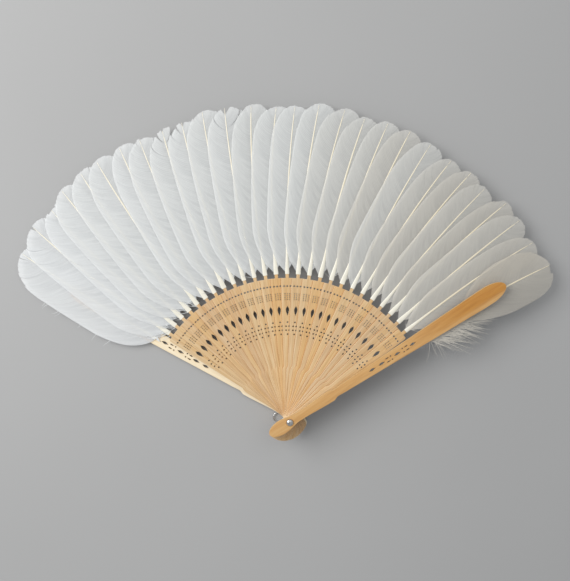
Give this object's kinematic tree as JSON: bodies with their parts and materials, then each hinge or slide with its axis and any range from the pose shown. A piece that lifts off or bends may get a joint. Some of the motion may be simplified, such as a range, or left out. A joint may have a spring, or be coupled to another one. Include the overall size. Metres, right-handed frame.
{
  "type": "feather hand fan",
  "caption": "Open folding hand fan: pierced bamboo sticks and two guards on one rivet, a white feather on every blade, and a wire loop for a tassel.",
  "frame": {"origin": "on the pivot axis, at the flat outer face of the rivet's rear head, where the open fan lies on a surface", "axes": "+Z along the pivot from the rear guard to the front guard, +Y up the middle of the open fan, +X to the right across its width"},
  "size_m": [0.4079, 0.258, 0.033],
  "materials": {
    "bamboo": "satin",
    "front_bamboo": "satin",
    "rear_bamboo": "satin",
    "feather": "matte",
    "silver": "polished",
    "wire": "satin"
  },
  "bodies": {
    "rear_guard": {"rear_guard": "rear_bamboo", "feather_rear": "feather", "rivet_pin": "silver", "rivet_cap": "silver"},
    "front_guard": {"front_guard": "front_bamboo", "feather_front": "feather"},
    "tassel_loop": {"tassel_loop": "wire"},
    "blade_01": {"stick_01": "bamboo", "feather_01": "feather"},
    "blade_02": {"stick_02": "bamboo", "feather_02": "feather"},
    "blade_03": {"stick_03": "bamboo", "feather_03": "feather"},
    "blade_04": {"stick_04": "bamboo", "feather_04": "feather"},
    "blade_05": {"stick_05": "bamboo", "feather_05": "feather"},
    "blade_06": {"stick_06": "bamboo", "feather_06": "feather"},
    "blade_07": {"stick_07": "bamboo", "feather_07": "feather"},
    "blade_08": {"stick_08": "bamboo", "feather_08": "feather"},
    "blade_09": {"stick_09": "bamboo", "feather_09": "feather"},
    "blade_10": {"stick_10": "bamboo", "feather_10": "feather"},
    "blade_11": {"stick_11": "bamboo", "feather_11": "feather"},
    "blade_12": {"stick_12": "bamboo", "feather_12": "feather"},
    "blade_13": {"stick_13": "bamboo", "feather_13": "feather"},
    "blade_14": {"stick_14": "bamboo", "feather_14": "feather"},
    "blade_15": {"stick_15": "bamboo", "feather_15": "feather"},
    "blade_16": {"stick_16": "bamboo", "feather_16": "feather"},
    "blade_17": {"stick_17": "bamboo", "feather_17": "feather"},
    "blade_18": {"stick_18": "bamboo", "feather_18": "feather"},
    "blade_19": {"stick_19": "bamboo", "feather_19": "feather"},
    "blade_20": {"stick_20": "bamboo", "feather_20": "feather"},
    "blade_21": {"stick_21": "bamboo", "feather_21": "feather"},
    "blade_22": {"stick_22": "bamboo", "feather_22": "feather"},
    "blade_23": {"stick_23": "bamboo", "feather_23": "feather"},
    "blade_24": {"stick_24": "bamboo", "feather_24": "feather"},
    "blade_25": {"stick_25": "bamboo", "feather_25": "feather"},
    "blade_26": {"stick_26": "bamboo", "feather_26": "feather"}
  },
  "joints": [
    {"name": "fan_open", "type": "hinge", "parent": "rear_guard", "child": "front_guard", "pos_m": [0, 0, 0], "axis": [0, 0, 1], "range_deg": [0, 116.31]},
    {"name": "loop_swivel", "type": "hinge", "parent": "rear_guard", "child": "tassel_loop", "pos_m": [0, 0, 0], "axis": [0, 0, 1], "continuous": true},
    {"name": "blade_01_turn", "type": "hinge", "parent": "rear_guard", "child": "blade_01", "pos_m": [0, 0, 0], "axis": [0, 0, 1], "range_deg": [0, 4.31]},
    {"name": "blade_02_turn", "type": "hinge", "parent": "rear_guard", "child": "blade_02", "pos_m": [0, 0, 0], "axis": [0, 0, 1], "range_deg": [0, 8.33]},
    {"name": "blade_03_turn", "type": "hinge", "parent": "rear_guard", "child": "blade_03", "pos_m": [0, 0, 0], "axis": [0, 0, 1], "range_deg": [0, 12.38]},
    {"name": "blade_04_turn", "type": "hinge", "parent": "rear_guard", "child": "blade_04", "pos_m": [0, 0, 0], "axis": [0, 0, 1], "range_deg": [0, 16.44]},
    {"name": "blade_05_turn", "type": "hinge", "parent": "rear_guard", "child": "blade_05", "pos_m": [0, 0, 0], "axis": [0, 0, 1], "range_deg": [0, 20.52]},
    {"name": "blade_06_turn", "type": "hinge", "parent": "rear_guard", "child": "blade_06", "pos_m": [0, 0, 0], "axis": [0, 0, 1], "range_deg": [0, 24.63]},
    {"name": "blade_07_turn", "type": "hinge", "parent": "rear_guard", "child": "blade_07", "pos_m": [0, 0, 0], "axis": [0, 0, 1], "range_deg": [0, 28.75]},
    {"name": "blade_08_turn", "type": "hinge", "parent": "rear_guard", "child": "blade_08", "pos_m": [0, 0, 0], "axis": [0, 0, 1], "range_deg": [0, 32.89]},
    {"name": "blade_09_turn", "type": "hinge", "parent": "rear_guard", "child": "blade_09", "pos_m": [0, 0, 0], "axis": [0, 0, 1], "range_deg": [0, 37.06]},
    {"name": "blade_10_turn", "type": "hinge", "parent": "rear_guard", "child": "blade_10", "pos_m": [0, 0, 0], "axis": [0, 0, 1], "range_deg": [0, 41.24]},
    {"name": "blade_11_turn", "type": "hinge", "parent": "rear_guard", "child": "blade_11", "pos_m": [0, 0, 0], "axis": [0, 0, 1], "range_deg": [0, 45.45]},
    {"name": "blade_12_turn", "type": "hinge", "parent": "rear_guard", "child": "blade_12", "pos_m": [0, 0, 0], "axis": [0, 0, 1], "range_deg": [0, 49.67]},
    {"name": "blade_13_turn", "type": "hinge", "parent": "rear_guard", "child": "blade_13", "pos_m": [0, 0, 0], "axis": [0, 0, 1], "range_deg": [0, 53.91]},
    {"name": "blade_14_turn", "type": "hinge", "parent": "rear_guard", "child": "blade_14", "pos_m": [0, 0, 0], "axis": [0, 0, 1], "range_deg": [0, 58.18]},
    {"name": "blade_15_turn", "type": "hinge", "parent": "rear_guard", "child": "blade_15", "pos_m": [0, 0, 0], "axis": [0, 0, 1], "range_deg": [0, 62.46]},
    {"name": "blade_16_turn", "type": "hinge", "parent": "rear_guard", "child": "blade_16", "pos_m": [0, 0, 0], "axis": [0, 0, 1], "range_deg": [0, 66.77]},
    {"name": "blade_17_turn", "type": "hinge", "parent": "rear_guard", "child": "blade_17", "pos_m": [0, 0, 0], "axis": [0, 0, 1], "range_deg": [0, 71.09]},
    {"name": "blade_18_turn", "type": "hinge", "parent": "rear_guard", "child": "blade_18", "pos_m": [0, 0, 0], "axis": [0, 0, 1], "range_deg": [0, 75.44]},
    {"name": "blade_19_turn", "type": "hinge", "parent": "rear_guard", "child": "blade_19", "pos_m": [0, 0, 0], "axis": [0, 0, 1], "range_deg": [0, 79.8]},
    {"name": "blade_20_turn", "type": "hinge", "parent": "rear_guard", "child": "blade_20", "pos_m": [0, 0, 0], "axis": [0, 0, 1], "range_deg": [0, 84.19]},
    {"name": "blade_21_turn", "type": "hinge", "parent": "rear_guard", "child": "blade_21", "pos_m": [0, 0, 0], "axis": [0, 0, 1], "range_deg": [0, 88.59]},
    {"name": "blade_22_turn", "type": "hinge", "parent": "rear_guard", "child": "blade_22", "pos_m": [0, 0, 0], "axis": [0, 0, 1], "range_deg": [0, 93.02]},
    {"name": "blade_23_turn", "type": "hinge", "parent": "rear_guard", "child": "blade_23", "pos_m": [0, 0, 0], "axis": [0, 0, 1], "range_deg": [0, 97.47]},
    {"name": "blade_24_turn", "type": "hinge", "parent": "rear_guard", "child": "blade_24", "pos_m": [0, 0, 0], "axis": [0, 0, 1], "range_deg": [0, 101.93]},
    {"name": "blade_25_turn", "type": "hinge", "parent": "rear_guard", "child": "blade_25", "pos_m": [0, 0, 0], "axis": [0, 0, 1], "range_deg": [0, 106.42]},
    {"name": "blade_26_turn", "type": "hinge", "parent": "rear_guard", "child": "blade_26", "pos_m": [0, 0, 0], "axis": [0, 0, 1], "range_deg": [0, 110.92]}
  ],
  "couplings": [
    {"joint": "blade_01_turn", "follows": "fan_open", "ratio": 0.036969},
    {"joint": "blade_02_turn", "follows": "fan_open", "ratio": 0.071558},
    {"joint": "blade_03_turn", "follows": "fan_open", "ratio": 0.10632},
    {"joint": "blade_04_turn", "follows": "fan_open", "ratio": 0.14125},
    {"joint": "blade_05_turn", "follows": "fan_open", "ratio": 0.17636},
    {"joint": "blade_06_turn", "follows": "fan_open", "ratio": 0.21164},
    {"joint": "blade_07_turn", "follows": "fan_open", "ratio": 0.24709},
    {"joint": "blade_08_turn", "follows": "fan_open", "ratio": 0.28272},
    {"joint": "blade_09_turn", "follows": "fan_open", "ratio": 0.31852},
    {"joint": "blade_10_turn", "follows": "fan_open", "ratio": 0.35449},
    {"joint": "blade_11_turn", "follows": "fan_open", "ratio": 0.39064},
    {"joint": "blade_12_turn", "follows": "fan_open", "ratio": 0.42695},
    {"joint": "blade_13_turn", "follows": "fan_open", "ratio": 0.46345},
    {"joint": "blade_14_turn", "follows": "fan_open", "ratio": 0.50011},
    {"joint": "blade_15_turn", "follows": "fan_open", "ratio": 0.53695},
    {"joint": "blade_16_turn", "follows": "fan_open", "ratio": 0.57396},
    {"joint": "blade_17_turn", "follows": "fan_open", "ratio": 0.61114},
    {"joint": "blade_18_turn", "follows": "fan_open", "ratio": 0.6485},
    {"joint": "blade_19_turn", "follows": "fan_open", "ratio": 0.68603},
    {"joint": "blade_20_turn", "follows": "fan_open", "ratio": 0.72373},
    {"joint": "blade_21_turn", "follows": "fan_open", "ratio": 0.7616},
    {"joint": "blade_22_turn", "follows": "fan_open", "ratio": 0.79965},
    {"joint": "blade_23_turn", "follows": "fan_open", "ratio": 0.83787},
    {"joint": "blade_24_turn", "follows": "fan_open", "ratio": 0.87627},
    {"joint": "blade_25_turn", "follows": "fan_open", "ratio": 0.91483},
    {"joint": "blade_26_turn", "follows": "fan_open", "ratio": 0.95357}
  ]
}
